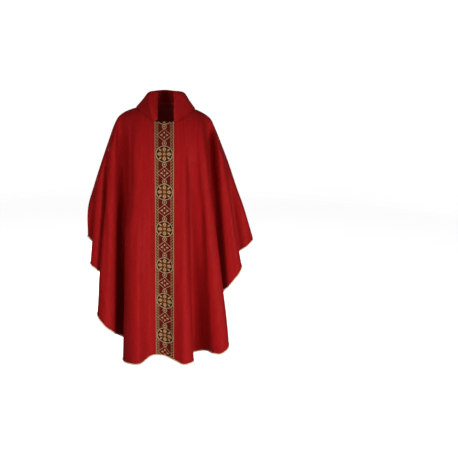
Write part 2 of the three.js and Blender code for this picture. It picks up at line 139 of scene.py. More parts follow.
# Folds from the right sleeve of the wearer round to the left one: where the fold's column
# starts on the top edge, how far it is tucked in where it lets go, and its point on the hem.
front_folds = table(
    "start tuck x y z",
    (-1.050, 0, -0.435, -0.008, -0.739),  # sleeve end
    (-0.940, 0, -0.416, -0.034, -0.752),  # wrist
    (-0.790, 0.008, -0.378, -0.022, -0.800),  # wrist valley
    (-0.660, -0.004, -0.414, -0.084, -0.878),  # wrist ridge edge
    (-0.590, -0.004, -0.384, -0.100, -0.904),  # wrist ridge
    (-0.530, 0.014, -0.300, -0.040, -0.992),  # arm valley
    (-0.495, 0.012, -0.310, -0.080, -1.076),  # arm valley side
    (-0.445, -0.006, -0.378, -0.136, -1.154),  # arm ridge edge
    (-0.405, -0.010, -0.336, -0.176, -1.210),  # arm ridge
    (-0.368, 0.004, -0.290, -0.146, -1.262),  # arm ridge inside
    (-0.348, 0.050, -0.264, -0.014, -1.338),  # deep valley side
    (-0.322, 0.058, -0.214, -0.008, -1.378),  # deep valley
    (-0.281, 0.010, -0.236, -0.206, -1.404),  # centre ridge edge
    (-0.245, -0.004, -0.186, -0.271, -1.397),  # centre ridge
    (-0.212, 0, -0.143, -0.274, -1.396),  # centre ridge inside
    (-0.170, 0, -0.114, -0.240, -1.394),  # neck side
    (-0.105, 0, -0.086, -0.218, -1.380),  # breast
    (-0.050, 0, -0.054, -0.212, -1.374),  # band left edge
    (0, 0, -0.004, -0.216, -1.379),  # band centre
    (0.050, 0, 0.046, -0.242, -1.394),  # band right edge
    (0.140, -0.002, 0.101, -0.280, -1.405),  # side ridge
    (0.178, -0.001, 0.149, -0.252, -1.404),  # side ridge edge
    (0.199, 0.014, 0.161, -0.034, -1.450),  # shallow valley
    (0.221, 0.017, 0.201, -0.052, -1.429),  # shallow valley side
    (0.243, 0.013, 0.242, -0.100, -1.408),  # outer ridge inside
    (0.257, -0.001, 0.272, -0.168, -1.395),  # outer ridge
    (0.273, -0.006, 0.314, -0.186, -1.391),  # outer ridge edge
    (0.287, 0.001, 0.351, -0.150, -1.360),  # outer ridge corner
    (0.312, 0.092, 0.284, -0.010, -1.218),  # deep valley
    (0.360, 0.062, 0.320, -0.010, -1.082),  # deep valley side
    (0.405, -0.022, 0.358, -0.104, -1.010),  # arm ridge inside
    (0.475, -0.024, 0.430, -0.098, -0.897),  # arm ridge
    (0.580, 0.012, 0.398, -0.024, -0.852),  # arm valley
    (0.800, 0, 0.468, -0.036, -0.790),  # wrist ridge
    (1.050, 0, 0.502, -0.008, -0.763),  # sleeve end
)

back_folds = table(
    "start tuck x y z",
    (-1.050, 0, -0.435, 0.008, -0.739),  # sleeve end
    (-0.930, 0, -0.414, 0.036, -0.756),  # wrist
    (-0.780, 0.008, -0.376, 0.022, -0.806),  # wrist valley
    (-0.650, -0.004, -0.400, 0.068, -0.880),  # wrist ridge edge
    (-0.600, -0.004, -0.374, 0.088, -0.912),  # wrist ridge
    (-0.548, 0.012, -0.312, 0.050, -0.996),  # arm valley
    (-0.518, 0.010, -0.318, 0.090, -1.070),  # arm valley side
    (-0.470, -0.006, -0.366, 0.132, -1.134),  # arm ridge edge
    (-0.420, -0.010, -0.326, 0.168, -1.202),  # arm ridge
    (-0.385, 0.004, -0.288, 0.132, -1.262),  # arm ridge inside
    (-0.350, 0.048, -0.248, 0.036, -1.340),  # deep valley
    (-0.312, 0.006, -0.274, 0.176, -1.380),  # centre ridge edge
    (-0.270, -0.004, -0.222, 0.240, -1.392),  # centre ridge
    (-0.220, 0.008, -0.168, 0.192, -1.386),  # slight valley
    (-0.170, 0, -0.132, 0.228, -1.390),  # inner ridge
    (-0.095, 0.004, -0.092, 0.178, -1.382),  # inner valley
    (-0.050, 0, -0.050, 0.206, -1.388),  # band left edge
    (0, 0, 0, 0.216, -1.392),  # band centre
    (0.050, 0, 0.050, 0.224, -1.394),  # band right edge
    (0.120, 0, 0.096, 0.226, -1.394),  # side ridge
    (0.190, 0.012, 0.148, 0.140, -1.384),  # shallow valley
    (0.260, -0.004, 0.204, 0.236, -1.390),  # outer ridge
    (0.312, 0.004, 0.252, 0.182, -1.372),  # outer ridge edge
    (0.345, 0.050, 0.234, 0.036, -1.318),  # deep valley
    (0.378, 0.008, 0.276, 0.112, -1.244),  # arm ridge inside
    (0.420, -0.008, 0.330, 0.150, -1.166),  # arm ridge
    (0.470, -0.006, 0.368, 0.104, -1.080),  # arm ridge edge
    (0.520, 0.012, 0.340, 0.044, -1.012),  # arm valley
    (0.556, 0.010, 0.366, 0.038, -0.954),  # arm valley side
    (0.640, -0.004, 0.420, 0.084, -0.900),  # wrist ridge
    (0.760, 0.008, 0.416, 0.026, -0.838),  # wrist valley
    (0.900, 0, 0.468, 0.038, -0.788),  # wrist
    (1.050, 0, 0.502, 0.008, -0.763),  # sleeve end
)

front = SimpleNamespace(
    name="front", facing=-1, neckline=front_neckline, drape=front_drape, folds=front_folds
)
back = SimpleNamespace(
    name="back", facing=1, neckline=back_neckline, drape=back_drape, folds=back_folds
)


def unit(vectors):
    return vectors / np.maximum(np.linalg.norm(vectors, axis=-1, keepdims=True), 1e-12)


def hermite(first, leave, last, arrive, t):
    """Curve from first to last that leaves and arrives as the two slopes say."""
    return (
        (2 * t**3 - 3 * t**2 + 1) * first
        + (t**3 - 2 * t**2 + t) * leave
        + (3 * t**2 - 2 * t**3) * last
        + (t**3 - t**2) * arrive
    )


def along(keys, values, places):
    """Smooth curve through a table's values, read at places in its key column."""
    count = np.arange(len(keys))
    before = np.maximum(count - 1, 0)
    after = np.minimum(count + 1, len(keys) - 1)
    slopes = (values[after] - values[before]) / (keys[after] - keys[before])
    i = np.clip(np.searchsorted(keys, places, side="right") - 1, 0, len(keys) - 2)
    span = keys[i + 1] - keys[i]
    t = np.clip((places - keys[i]) / span, 0, 1)
    return hermite(values[i], slopes[i] * span, values[i + 1], slopes[i + 1] * span, t)


def spline(points, places):
    """Centripetal curve through points, read at places counted in points."""
    before = 2 * points[0] - points[1]
    after = 2 * points[-1] - points[-2]
    padded = np.vstack([before, points, after])
    i = np.clip(np.floor(places).astype(int), 0, len(points) - 2)
    p0, p1, p2, p3 = padded[i], padded[i + 1], padded[i + 2], padded[i + 3]

    def pace(a, b):
        return np.sqrt(np.linalg.norm(b - a, axis=1))[:, None]

    d0, d1, d2 = pace(p0, p1), pace(p1, p2), pace(p2, p3)
    leave = ((p1 - p0) / d0 - (p2 - p0) / (d0 + d1) + (p2 - p1) / d1) * d1
    arrive = ((p2 - p1) / d1 - (p3 - p1) / (d1 + d2) + (p3 - p2) / d2) * d1
    return hermite(p1, leave, p2, arrive, (places - i)[:, None])


def hem_of(panel, places):
    folds = panel.folds
    return spline(np.column_stack([folds.x, folds.y, folds.z]), places)


def top_edge(panel, start):
    """The panel's top edge: the neckline near the middle, and the seam beyond it."""
    line = panel.neckline
    beyond = np.abs(start) - neck_side
    gap = panel.facing * sewn_gap / 2
    on_neck = [along(line.start, column, start) for column in (line.x, line.y, line.z)]
    arm = shoulder_seam
    left = [along(arm.at, column, beyond) for column in (arm.left_x, arm.left_z)]
    right = [along(arm.at, column, beyond) for column in (arm.right_x, arm.right_z)]
    hand_x, hand_z = (np.where(start < 0, a, b) for a, b in zip(left, right))
    x = np.where(beyond < 0, on_neck[0], hand_x)
    y = np.where(beyond < 0, on_neck[1], 0)
    z = np.where(beyond < 0, on_neck[2], hand_z)
    return np.column_stack([x, y + gap, z])


def panel_grid(panel, places, rounded, hanging):
    """Points of the cloth, a row at a time from the top edge to the hem."""
    drape, folds = panel.drape, panel.folds
    start = along(np.arange(len(folds.start)), folds.start, places)
    hem = hem_of(panel, places)
    top = top_edge(panel, start)
    columns = (drape.out, drape.drop, drape.lead)
    out, drop, lead = (along(drape.start, column, np.abs(start)) for column in columns)
    tuck = along(folds.start, folds.tuck, start)
    lean = (hem[:, 0] - top[:, 0]) * drop / (top[:, 2] - hem[:, 2] + drop)
    let_go = np.column_stack([top[:, 0] + lean, panel.facing * (out - tuck), top[:, 2] - drop])
    length = np.linalg.norm(let_go - top, axis=1, keepdims=True)
    steep = np.column_stack([np.zeros_like(lead), np.full_like(lead, panel.facing), -lead])
    shares = np.arange(rounded)[:, None, None] / rounded
    over = hermite(top, unit(steep) * length, let_go, unit(hem - let_go) * length, shares)
    down = np.linspace(0, 1, hanging + 1)[:, None, None]
    return start, np.concatenate([over, let_go + (hem - let_go) * down])


def grid_normals(points, facing):
    across = np.gradient(points, axis=1)
    down = np.gradient(points, axis=0)
    return unit(np.cross(across, down)) * facing


def window(value, low, high):
    """Soft step from 0 at low to 1 at high."""
    t = np.clip((value - low) / (high - low), 0, 1)
    return t * t * (3 - 2 * t)


# Soft creases between the main folds: where they begin and end, half width, and how far they
# stand out. The last is negative for a trough.
front_creases = table(
    "top_x top_z foot_x foot_z width height",
    (-0.300, -0.350, -0.352, -0.960, 0.012, 0.005),
    (-0.318, -0.420, -0.330, -0.900, 0.010, -0.005),
    (-0.180, 0.020, -0.206, -0.560, 0.030, -0.013),
    (-0.150, -0.600, -0.150, -1.385, 0.016, 0.006),
    (0.238, -0.280, 0.350, -1.340, 0.020, 0.014),
    (0.190, -0.380, 0.214, -0.900, 0.015, -0.006),
    (0.330, -0.420, 0.402, -0.900, 0.011, 0.005),
    (0.372, -0.520, 0.430, -0.830, 0.010, -0.005),
)

back_creases = table(
    "top_x top_z foot_x foot_z width height",
    (-0.300, -0.350, -0.350, -0.960, 0.014, 0.008),
    (-0.210, -0.300, -0.245, -1.370, 0.018, 0.014),
    (-0.120, -0.400, -0.145, -1.380, 0.020, -0.016),
    (-0.090, -0.260, -0.072, -1.380, 0.014, 0.009),
    (0.100, -0.250, 0.118, -1.380, 0.017, 0.012),
    (0.160, -0.300, 0.176, -1.380, 0.020, -0.018),
    (0.220, -0.300, 0.236, -1.360, 0.018, 0.013),
    (0.330, -0.420, 0.402, -0.930, 0.014, 0.008),
)


def crease_relief(creases, points):
    """How far the creases lift each point of the cloth."""
    x, z = points[..., 0], points[..., 2]
    lift = np.zeros_like(x)
    for top_x, top_z, foot_x, foot_z, width, height in zip(*vars(creases).values()):
        share = (z - top_z) / (foot_z - top_z)
        middle = top_x + (foot_x - top_x) * share
        spread = width * (0.7 + 0.6 * np.clip(share, 0, 1))
        fade = window(share, 0, 0.35) * (1 - window(share, 0.94, 1.25))
        lift += height * fade * np.exp(-(((x - middle) / spread) ** 2))
    return lift


def unevenness(points):
    """Slow rise and fall of hanging cloth, from a few crossing waves."""
    x, y, z = points[..., 0], points[..., 1], points[..., 2]
    lift = 0.0009 * np.sin(31 * x + 6.1 * z + 0.7) * np.sin(4.3 * z + 9 * y)
    lift += 0.0008 * np.sin(58 * x - 3.7 * z + 2.1) * np.sin(7.9 * z - 12 * x + 1.3)
    lift += 0.0005 * np.sin(97 * x + 8.3 * z + 4.0) * np.sin(13.1 * z + 21 * y + 0.4)
    return lift


def loop_round(grid):
    """The grid's values round its edge: down the left, along the foot, up the right, back."""
    return np.concatenate([grid[:-1, 0], grid[-1, :-1], grid[:0:-1, -1], grid[0, :0:-1]])


def baking_map(rows, columns, edge_count, strips):
    """A map without overlaps: right side in strips side by side, wrong side, and the rim."""
    margin, right_low, right_high, wrong_low, wrong_high = 0.02, 0.005, 0.785, 0.80, 0.165
    rim_lows, rim_high = (0.972, 0.987), 0.01
    row, column = (index.ravel()[:, None] for index in np.indices((rows - 1, columns - 1)))
    rows_each = -(-(rows - 1) // strips)
    strip = row // rows_each
    across = (strip + margin + (1 - 2 * margin) * (column + (0, 0, 1, 1)) / (columns - 1)) / strips
    down = (row + (0, 1, 1, 0) - strip * rows_each) / rows_each
    right_side = np.stack([across, right_low + right_high * down], axis=-1)
    wrong_side = np.stack([across, wrong_low + wrong_high * down], axis=-1)[:, ::-1]
    round_edge = (np.arange(edge_count)[:, None] + (1, 0, 0, 1)) / edge_count
    half = np.broadcast_to((0, 0, rim_high, rim_high), round_edge.shape)
    rims = [np.stack([round_edge, low + half], axis=-1) for low in rim_lows]
    return np.concatenate([right_side, wrong_side, *rims])


def cloth_wall(name, points, normals, inner, outer, facing, flat, strips=1, **lips):
    """Closed cloth over a grid, with its edges rounded by the lips and a map of its flat cut."""
    rows, columns = points.shape[:2]
    at = np.arange(rows * columns).reshape(rows, columns)
    skin, lining = points + normals * outer, points + normals * inner
    push = np.zeros_like(points)
    push[0] += unit(points[0] - points[1]) * lips.get("top_lip", 0)
    push[-1] += unit(points[-1] - points[-2]) * lips.get("foot_lip", 0)
    push[:, 0] += unit(points[:, 0] - points[:, 1]) * lips.get("side_lip", 0)
    push[:, -1] += unit(points[:, -1] - points[:, -2]) * lips.get("side_lip", 0)
    rim = loop_round((skin + lining) / 2 + push)
    vertices = np.concatenate([skin.reshape(-1, 3), lining.reshape(-1, 3), rim])
    quads = np.stack([at[:-1, :-1], at[1:, :-1], at[1:, 1:], at[:-1, 1:]], axis=-1).reshape(-1, 4)
    edge = loop_round(at)
    following = np.roll(edge, -1)
    middle = 2 * rows * columns + np.arange(len(edge))
    after = np.roll(middle, -1)
    to_rim = np.stack([following, edge, middle, after], axis=-1)
    from_rim = np.stack([after, middle, edge + at.size, following + at.size], axis=-1)
    faces = np.concatenate([quads, quads[:, ::-1] + at.size, to_rim, from_rim])
    baked = baking_map(rows, columns, len(edge), strips)
    if facing > 0:
        faces, baked = faces[:, ::-1], baked[:, ::-1]
    mesh = bpy.data.meshes.new(name)
    mesh.from_pydata(vertices.tolist(), [], faces.tolist())
    spots = np.concatenate([flat.reshape(-1, 2), flat.reshape(-1, 2), loop_round(flat)])
    corners = np.zeros(len(mesh.loops), int)
    mesh.loops.foreach_get("vertex_index", corners)
    mesh.uv_layers.new(name="cut").uv.foreach_set("vector", spots[corners].astype(np.float32).ravel())
    mesh.uv_layers.new(name="OFBake").uv.foreach_set("vector", baked.astype(np.float32).ravel())
    wrong_side = np.zeros(len(faces), int)
    wrong_side[len(quads):2 * len(quads)] = 1
    mesh.polygons.foreach_set("material_index", wrong_side)
    mesh.shade_smooth()
    mesh.validate()
    piece = bpy.data.objects.new(name, mesh)
    bpy.context.collection.objects.link(piece)
    return piece


def laid_flat(points, middle):
    """Each point's place on the flat cut: across from the middle column, and down the grain."""
    steps = np.linalg.norm(np.diff(points, axis=0), axis=2)
    fallen = np.vstack([np.zeros(points.shape[1]), np.cumsum(steps, axis=0)])
    share = fallen / fallen[-1]
    level = np.linalg.norm(np.diff(points[[0, -1], :, :2], axis=1), axis=2)
    top, foot = (np.append(0, np.cumsum(steps_across)) for steps_across in level)
    across = (top - top[middle]) * (1 - share) + (foot - foot[middle]) * share
    return np.stack([across, fallen - points[0, :, 2]], axis=-1)


def column_places(panel, spacing):
    """Places of the columns, about evenly spaced along the hem, with one on each fold."""
    knots = hem_of(panel, np.arange(len(panel.folds.start)))
    spans = np.linalg.norm(np.diff(knots, axis=0), axis=1)
    steps = np.maximum(1, np.round(spans / spacing)).astype(int)
    pieces = [i + np.arange(n) / n for i, n in enumerate(steps)]
    return np.append(np.concatenate(pieces), len(knots) - 1.0)


def settled(panel, points):
    """The cloth with its creases and unevenness, held still at the seams and neckline."""
    creases = front_creases if panel is front else back_creases
    normals = grid_normals(points, panel.facing)
    steps = np.linalg.norm(np.diff(points, axis=0), axis=2)
    below_top = np.vstack([np.zeros(points.shape[1]), np.cumsum(steps, axis=0)])
    free = window(below_top, 0.01, 0.12)
    lift = (crease_relief(creases, points) + unevenness(points)) * free
    return points + normals * lift[..., None]


def eased(panel, points):
    """Softens the cloth below the ends of the shoulder seams, where it turns round the neck."""
    near = np.exp(-(((np.abs(panel.start) - neck_side) / ease_width) ** 2))
    share = np.arange(len(points)) / (len(points) - 1)
    fade = window(share, 0, 0.05) * (1 - window(share, 0.55, 0.95))
    weight = (0.5 * fade[:, None] * near)[..., None]
    for _ in range(ease_rounds):
        between = points.copy()
        between[:, 1:-1] = (points[:, :-2] + points[:, 2:]) / 2
        points = points + (between - points) * weight
    return points


class Nodes:
    """Writes a material's nodes: each call adds a node and returns what it gives."""

    def __init__(self, name):
        self.material = bpy.data.materials.new(name)
        self.material.use_nodes = True
        self.tree = self.material.node_tree
        self.tree.nodes.clear()

    def add(self, kind, *values, **settings):
        node = self.tree.nodes.new(kind)
        for key, value in settings.items():
            setattr(node, key, value)
        for socket, value in zip(node.inputs, values):
            self.feed(socket, value)
        return node

    def feed(self, socket, value):
        if isinstance(value, bpy.types.NodeSocket):
            self.tree.links.new(value, socket)
        elif value is not None:
            socket.default_value = value

    def math(self, operation, *values, clamp=False):
        return self.add("ShaderNodeMath", *values, operation=operation, use_clamp=clamp).outputs[0]

    def mix(self, share, low, high):
        node = self.add("ShaderNodeMix", data_type="RGBA")
        self.feed(node.inputs[0], share)
        self.feed(node.inputs[6], low)
        self.feed(node.inputs[7], high)
        return node.outputs[2]

    def blend(self, share, low, high):
        node = self.add("ShaderNodeMix", share)
        self.feed(node.inputs[2], low)
        self.feed(node.inputs[3], high)
        return node.outputs[0]

    def noise(self, place, scale, detail=2.0, roughness=0.5):
        node = self.add("ShaderNodeTexNoise")
        self.feed(node.inputs["Vector"], place)
        self.feed(node.inputs["Scale"], scale)
        self.feed(node.inputs["Detail"], detail)
        self.feed(node.inputs["Roughness"], roughness)
        return node.outputs["Fac"]

    def join(self, x, y, z=0.0):
        return self.add("ShaderNodeCombineXYZ", x, y, z).outputs[0]

    def cut(self):
        """Across and down on the flat cut, in millimetres."""
        split = self.add("ShaderNodeSeparateXYZ", self.add("ShaderNodeUVMap", uv_map="cut").outputs[0])
        return [self.math("MULTIPLY", split.outputs[i], 1000.0) for i in range(2)]

    def finish(self, colour, roughness, height=None, depth=0.0005, metal=0.0, **fixed):
        shader = self.add("ShaderNodeBsdfPrincipled")
        self.feed(shader.inputs["Base Color"], colour)
        self.feed(shader.inputs["Roughness"], roughness)
        self.feed(shader.inputs["Metallic"], metal)
        for socket, value in fixed.items():
            shader.inputs[socket.replace("_", " ")].default_value = value
        if height is not None:
            bump = self.add("ShaderNodeBump")
            self.feed(bump.inputs["Height"], height)
            bump.inputs["Distance"].default_value = depth
            self.feed(shader.inputs["Normal"], bump.outputs[0])
        self.add("ShaderNodeOutputMaterial", shader.outputs[0])
        return self.material


class Weaving:
    """Lays figures of one thread over another, with their height and how metallic they are."""

    def __init__(self, nodes, ground, blur):
        self.nodes = nodes
        self.colour = ground
        self.blur = blur
        self.height = 0.0
        self.metal = 0.0

    def lay(self, mask, colour, height=0.0, metal=0.0):
        n = self.nodes
        self.colour = n.mix(mask, self.colour, colour)
        self.height = n.blend(mask, self.height, height)
        self.metal = n.blend(mask, self.metal, metal)

    def figure(self, across, down, shape, at, size, turn=0, line=None, **thread):
        """An oval, lozenge or leaf about a point, filled or drawn as a line of some width."""
        n = self.nodes
        dx = n.math("SUBTRACT", across, float(at[0]))
        dy = n.math("SUBTRACT", down, float(at[1]))
        if turn:
            c, s = math.cos(math.radians(turn)), math.sin(math.radians(turn))
            dx, dy = (
                n.math("ADD", n.math("MULTIPLY", dx, c), n.math("MULTIPLY", dy, s)),
                n.math("SUBTRACT", n.math("MULTIPLY", dy, c), n.math("MULTIPLY", dx, s)),
            )
        ex = n.math("ABSOLUTE", n.math("DIVIDE", dx, float(size[0])))
        ey = n.math("ABSOLUTE", n.math("DIVIDE", dy, float(size[1])))
        if shape == "oval":
            squares = n.math("MULTIPLY", ex, ex), n.math("MULTIPLY", ey, ey)
            reach = n.math("SQRT", n.math("ADD", *squares))
        elif shape == "lozenge":
            reach = n.math("ADD", ex, ey)
        else:
            reach = n.math("ADD", ex, n.math("MULTIPLY", ey, ey))
        small = float(min(size))
        if line:
            off_line = n.math("ABSOLUTE", n.math("SUBTRACT", reach, 1.0))
            reach = n.math("ADD", off_line, 1 - line / 2 / small)
        mask = n.math("MULTIPLY_ADD", n.math("SUBTRACT", 1.0, reach), small / self.blur, 0.5, clamp=True)
        self.lay(mask, **thread)


damask_red = (0.375, 0.0090, 0.0100, 1)
damask_figure_red = (0.342, 0.0078, 0.0088, 1)
# painted light: the wrong side's red is lighter than the right side's damask, to lighten the shaded
# inside of the neck and panels
painted_light_wrong_side_red = (0.48, 0.036, 0.038, 1)
net_width = 56.0  # between two middle lines of the net of ogees, in millimetres
net_height = 150.0
twill = 0.9  # from one rib of the weave to the next
darkest_shade = 0.67  # and how much uneven threads and slow clouding of the dye add to it
slub_shade = 0.30
cloud_shade = 0.36
figure_relief = 0.5
rib_relief = 0.12
slub_relief = 0.6
damask_relief = 0.0003
sheen_red = (1, 0.25, 0.22, 1)
gloss_red = (1, 0.35, 0.3, 1)


def damask(name, red, figure_red):
    """Satin with a bud in every mesh of an ogee net, in the same red but less lustrous."""
    n = Nodes(name)
    across, down = n.cut()
    half = net_width / 2
    line = n.math("FLOOR", n.math("DIVIDE", n.math("ADD", across, half), net_width))
    side = n.math("PINGPONG", across, half)
    along_line = n.math("MULTIPLY_ADD", line, net_height / 2, down)
    up = n.math("WRAP", along_line, net_height / 2, -net_height / 2)
    w = Weaving(n, red, 1.6)
    thread = dict(colour=figure_red, height=1.0)
    wave = n.math("COSINE", n.math("MULTIPLY", up, 2 * math.pi / net_height))
    bow = n.math("MULTIPLY_ADD", wave, half, half)
    off_net = n.math("ABSOLUTE", n.math("SUBTRACT", side, bow))
    w.lay(n.math("MULTIPLY_ADD", off_net, -0.45, 1.9, clamp=True), **thread)
    for at, size, turn in (
        ((0, 2), (9, 22), 0),
        ((14, -4), (5, 17), 24),
        ((24, 10), (4, 14), 52),
        ((11, 26), (4, 13), -38),
        ((0, -34), (5, 9), 0),
        ((0, 40), (3.5, 11), 0),
    ):
        w.figure(side, up, "leaf", at, size, turn, **thread)
    w.figure(side, up, "leaf", (0, 4), (3.5, 10), colour=red, height=0.0)
    slub = n.noise(n.join(across, n.math("MULTIPLY", down, 0.02)), 0.16, 3.0)
    cloud = n.noise(n.join(across, n.math("MULTIPLY", down, 0.12)), 0.045, 2.0)
    shade = n.math("MULTIPLY_ADD", slub, slub_shade, darkest_shade)
    shade = n.math("ADD", shade, n.math("MULTIPLY", cloud, cloud_shade))
    tinted = n.add("ShaderNodeVectorMath", w.colour, n.join(shade, shade, shade), operation="MULTIPLY")
    slant = n.math("MULTIPLY_ADD", down, 0.5, across)
    rib = n.math("SINE", n.math("MULTIPLY", slant, 2 * math.pi / twill))
    raised = n.math("MULTIPLY", w.height, figure_relief)
    relief = n.math("ADD", raised, n.math("MULTIPLY", rib, rib_relief))
    relief = n.math("ADD", relief, n.math("MULTIPLY", slub, slub_relief))
    rough = n.math("MULTIPLY_ADD", w.height, 0.12, 0.50)
    return n.finish(
        tinted.outputs[0], rough, relief, damask_relief, Specular_IOR_Level=0.10,
        Specular_Tint=gloss_red, Sheen_Weight=0.05, Sheen_Roughness=0.45, Sheen_Tint=sheen_red,
    )


def plain_cloth(name, red):
    """Wrong side of the damask: matt, with faint streaks of uneven thread."""
    n = Nodes(name)
    across, down = n.cut()
    slub = n.noise(n.join(across, n.math("MULTIPLY", down, 0.2)), 0.5, 2.0)
    colour = n.mix(slub, red, tuple(0.75 * value for value in red[:3]) + (1,))
    return n.finish(colour, 0.8, slub, 0.0002, Specular_IOR_Level=0.1)


panel_damask = damask("panel_damask", damask_red, damask_figure_red)
# the wrong side's material carries painted light: its lighter red brightens the shaded inside of the
# garment
panel_wrong_side = plain_cloth("panel_wrong_side", painted_light_wrong_side_red)

for panel in (front, back):
    places = column_places(panel, hem_spacing)
    panel.start, bare = panel_grid(panel, places, rounded_rows, hanging_rows)
    panel.points = settled(panel, eased(panel, bare))
    panel.normals = grid_normals(panel.points, panel.facing)
    on_seam = np.abs(panel.start) >= neck_side
    panel.normals[0, on_seam, 1] = 0
    panel.normals[0] = unit(panel.normals[0])
    middle = int(np.argmin(np.abs(panel.start)))
    panel.flat = laid_flat(panel.points, middle)
    piece = cloth_wall(
        f"{panel.name}_panel_cloth", panel.points, panel.normals, -cloth_thickness, 0, panel.facing,
        panel.flat, foot_lip=hem_lip,
    )
    piece.data.materials.append(panel_damask)
    piece.data.materials.append(panel_wrong_side)
    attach(piece, "root")
    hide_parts(f"{panel.name}_panel")


# ----------------------------------------
# Orphreys. A woven band runs down the middle of each panel from the neckline to the hem, sewn
# on along both sides. Its gold figure stands on dark red between two brown borders: roundels
# and lozenges by turns, joined by small rings.
# ----------------------------------------

band_half_width = 0.050
band_thickness = 0.0010
band_lip = 0.0003
band_columns = 48
band_edge_rise = 0.0005  # the gold edge lines stand a little proud
band_edge_width = 0.0045
pattern_repeat = 200.0  # millimetres from one roundel to the next
weft_pitch = 0.8
band_relief = 0.0004
first_roundel = {"front": 172.0, "back": 276.0}  # below the band's top edge

red_ground = (0.104, 0.006, 0.003, 1)
brown_ground = (0.050, 0.015, 0.005, 1)
dark_ground = (0.016, 0.005, 0.002, 1)
russet = (0.14, 0.032, 0.012, 1)
gold = (0.53, 0.295, 0.12, 1)
pale_gold = (0.64, 0.33, 0.19, 1)
rim_gold = (0.57, 0.36, 0.20, 1)
pink_gold = (0.42, 0.150, 0.085, 1)
edge_gold = (0.56, 0.28, 0.15, 1)
dull_gold = (0.34, 0.165, 0.07, 1)


def stripe(n, across, middle, half):
    """1 within half of the middle, and 0 outside, with a soft edge."""
    away = n.math("ABSOLUTE", n.math("SUBTRACT", across, middle))
    return n.math("MULTIPLY_ADD", n.math("SUBTRACT", half, away), 2.2, 0.5, clamp=True)


def galloon(name, first):
    n = Nodes(name)
    side, down = n.cut()
    across = n.math("ABSOLUTE", side)
    w = Weaving(n, red_ground, 0.45)
    w.lay(stripe(n, across, 39.5, 7.5), brown_ground, 0.3)
    twist = pattern_repeat / 13  # thirteen slanted leaves in each border between two roundels
    along_border = n.math("MODULO", n.math("ADD", down, pattern_repeat * 10), twist)
    beat = n.math("SUBTRACT", along_border, twist / 2)
    for at, size, turn, colour in (
        ((39.0, 0.0), (2.3, 8.0), 38, dull_gold),
        ((36.2, 3.6), (1.3, 3.8), -30, gold),
        ((42.6, -3.6), (1.3, 3.8), -30, gold),
    ):
        w.figure(across, beat, "leaf", at, size, turn, colour=colour, height=0.8, metal=0.35)
    w.lay(stripe(n, across, 47.8, 2.1), edge_gold, 1.0, 0.35)
    w.lay(stripe(n, across, 31.6, 1.5), pink_gold, 1.0, 0.35)
    start = n.math("ADD", down, pattern_repeat * 10 - first)
    middle = pattern_repeat / 2
    from_roundel = n.math("PINGPONG", start, middle)
    lit, flat, low = (1.0, 0.35), (0.0, 0.0), (0.4, 0.2)  # height and metal
    for shape, at, size, turn, line, colour, (height, metal) in (
        # lozenge, with a cross of four buds
        ("lozenge", (0, middle), (37, 33), 0, None, red_ground, flat),
        ("lozenge", (0, middle), (37, 33), 0, 3.0, pale_gold, lit),
        ("oval", (0, middle), (3.0, 3.0), 0, None, russet, (0.6, 0.3)),
        ("leaf", (0, middle - 13), (4.0, 6.5), 0, None, pale_gold, lit),
        ("leaf", (14, middle), (4.0, 7.0), 90, None, pale_gold, lit),
        ("oval", (9.5, middle - 8.5), (2.4, 2.4), 0, None, pink_gold, lit),
        # small ring between lozenge and roundel
        ("oval", (0, 55), (11.5, 12), 0, None, brown_ground, flat),
        ("oval", (0, 55), (10.2, 10.8), 0, 2.8, rim_gold, lit),
        ("oval", (0, 55), (3.6, 4.2), 0, None, rim_gold, lit),
        # roundel, with four large leaves in a cross and four small ones between them
        ("oval", (0, 0), (43, 43), 0, None, dark_ground, flat),
        ("oval", (0, 0), (31, 31), 0, None, russet, low),
        ("oval", (14.5, 14.5), (17, 8), -45, None, russet, low),
        ("oval", (0, 23), (11, 13.5), 0, 1.6, brown_ground, (0.2, 0.0)),
        ("oval", (23, 0), (13.5, 11), 0, 1.6, brown_ground, (0.2, 0.0)),
        ("leaf", (0, 24), (8.6, 12.5), 0, None, gold, lit),
        ("leaf", (24, 0), (8.6, 12.5), 90, None, gold, lit),
        ("leaf", (0, 24), (1.0, 9), 0, None, brown_ground, (0.4, 0.3)),
        ("leaf", (24, 0), (1.0, 9), 90, None, brown_ground, (0.4, 0.3)),
        ("leaf", (21.5, 21.5), (3.6, 8.5), -45, None, rim_gold, lit),
        ("oval", (0, 0), (6.5, 6.5), 0, None, rim_gold, lit),
        ("oval", (0, 0), (3.0, 3.0), 0, None, dark_ground, flat),
        ("oval", (0, 0), (41.5, 41.5), 0, 3.4, rim_gold, lit),
    ):
        thread = dict(colour=colour, height=height, metal=metal)
        w.figure(across, from_roundel, shape, at, size, turn, line, **thread)
    rib = n.math("SINE", n.math("MULTIPLY", down, 2 * math.pi / weft_pitch))
    relief = n.math("ADD", w.height, n.math("MULTIPLY", rib, rib_relief))
    fleck = n.noise(n.join(n.math("MULTIPLY", side, 0.4), down), 1.1, 2.0)
    shade = n.math("MULTIPLY_ADD", fleck, 0.5, 0.75)
    tinted = n.add("ShaderNodeVectorMath", w.colour, n.join(shade, shade, shade), operation="MULTIPLY")
    rough = n.math("MULTIPLY_ADD", w.metal, -0.35, 0.75)
    return n.finish(
        tinted.outputs[0], rough, relief, band_relief, metal=w.metal, Specular_IOR_Level=0.10
    )


